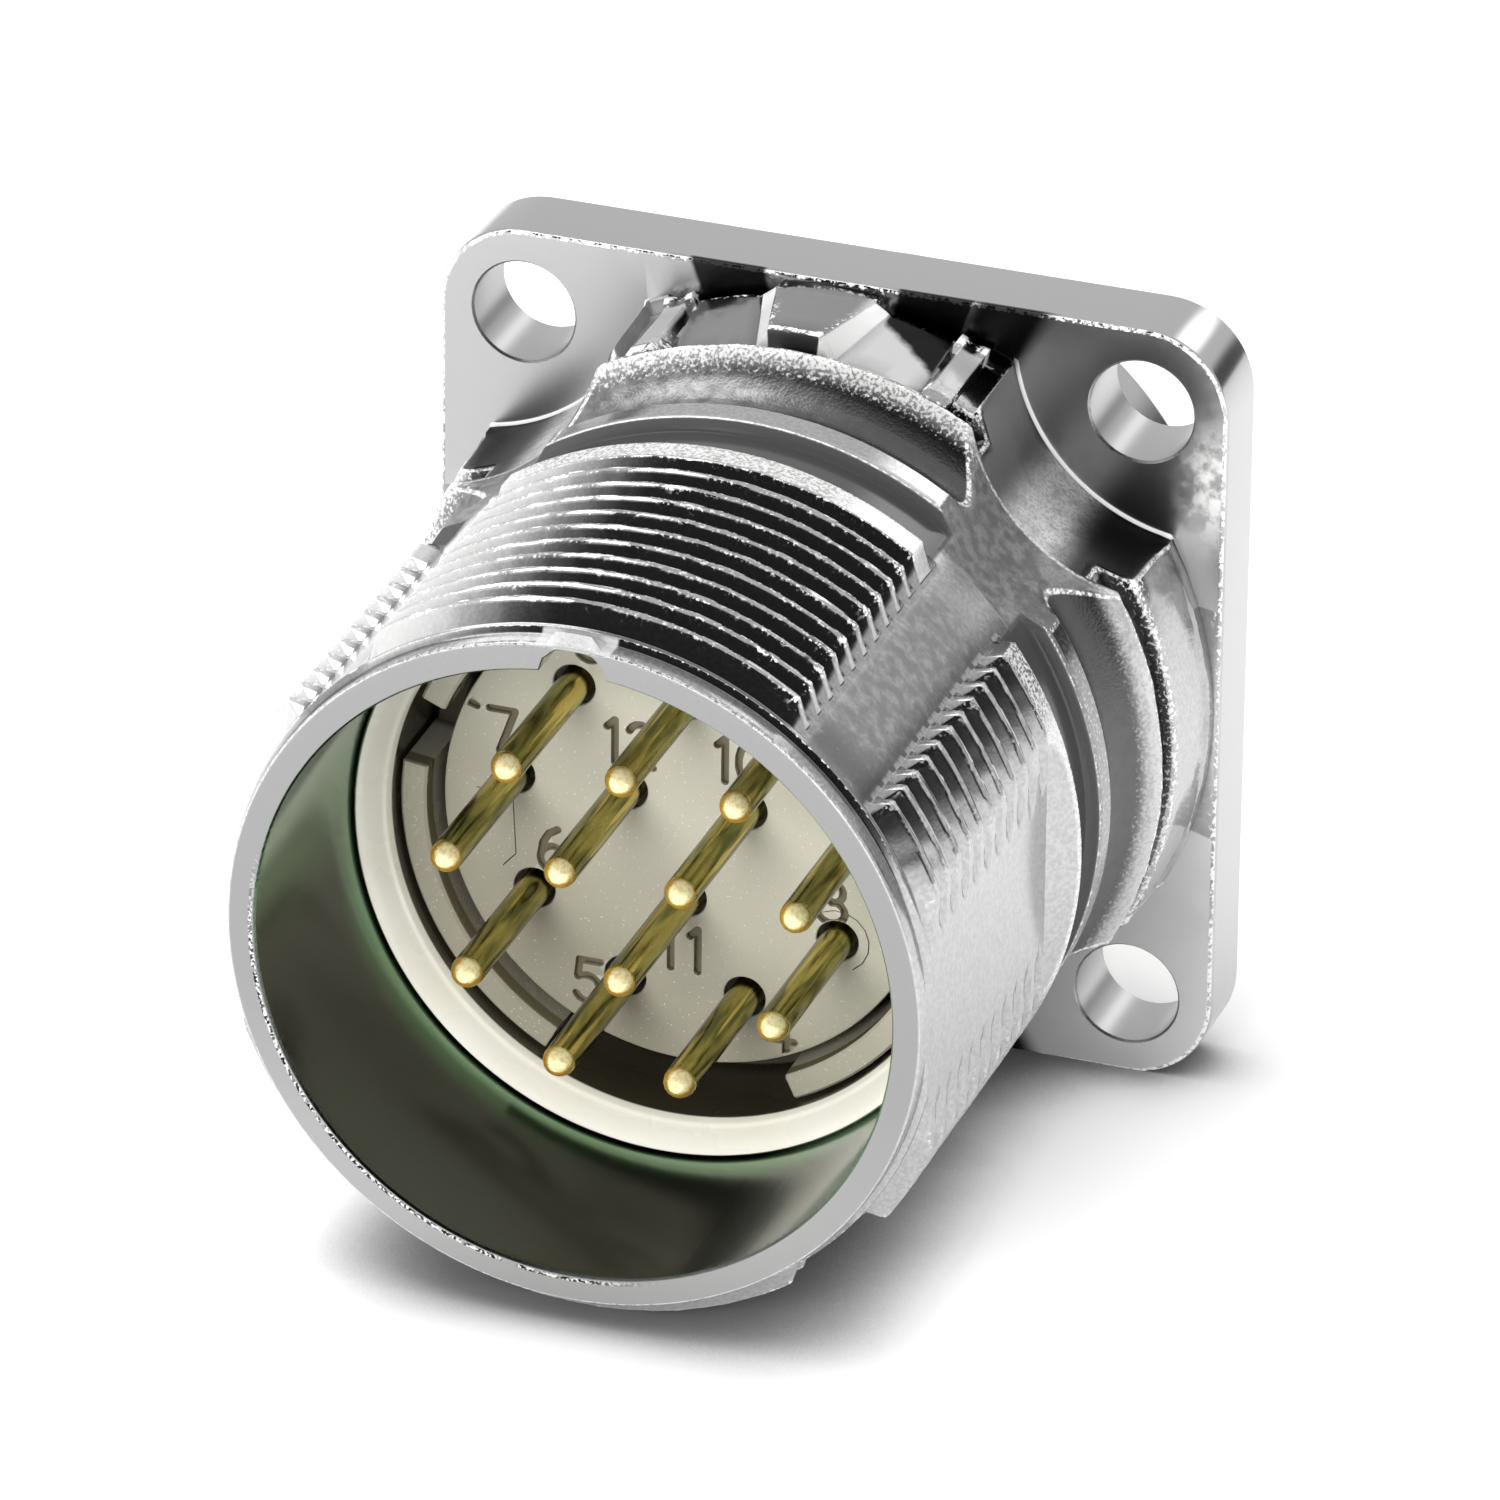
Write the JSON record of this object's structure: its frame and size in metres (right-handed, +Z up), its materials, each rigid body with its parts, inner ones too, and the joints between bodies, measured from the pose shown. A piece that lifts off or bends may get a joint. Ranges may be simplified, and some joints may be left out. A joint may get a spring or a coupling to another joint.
{
  "type": "circular connector receptacle",
  "caption": "Square-flange panel receptacle with a threaded, keyed metal shell round a recessed set of male signal contacts.",
  "frame": {"origin": "centre of the flange's mounting face, on the shell axis", "axes": "-Y along the shell axis toward the mating face, +Y into the panel, +Z up with the keyway at the top, X across the flange"},
  "size_m": [0.025, 0.035, 0.025],
  "materials": {
    "nickel_plate": "bright nickel plate on a die casting",
    "gold_plate": "gold plate, polished",
    "beige_plastic": "filled thermoplastic, fine speckle",
    "cream_plastic": "smooth moulding",
    "seal_rubber": "moulded O-ring"
  },
  "bodies": {
    "root": {"housing": "nickel_plate", "shoulder_ring": "cream_plastic", "key_ring": "beige_plastic", "carrier_front": "beige_plastic", "carrier_rear": "beige_plastic", "carrier_seal": "seal_rubber", "retaining_ring": "nickel_plate", "flange_seal": "seal_rubber", "contact_1": "gold_plate", "contact_2": "gold_plate", "contact_3": "gold_plate", "contact_4": "gold_plate", "contact_5": "gold_plate", "contact_6": "gold_plate", "contact_7": "gold_plate", "contact_8": "gold_plate", "contact_9": "gold_plate", "contact_10": "gold_plate", "contact_11": "gold_plate", "contact_12": "gold_plate"}
  },
  "joints": []
}
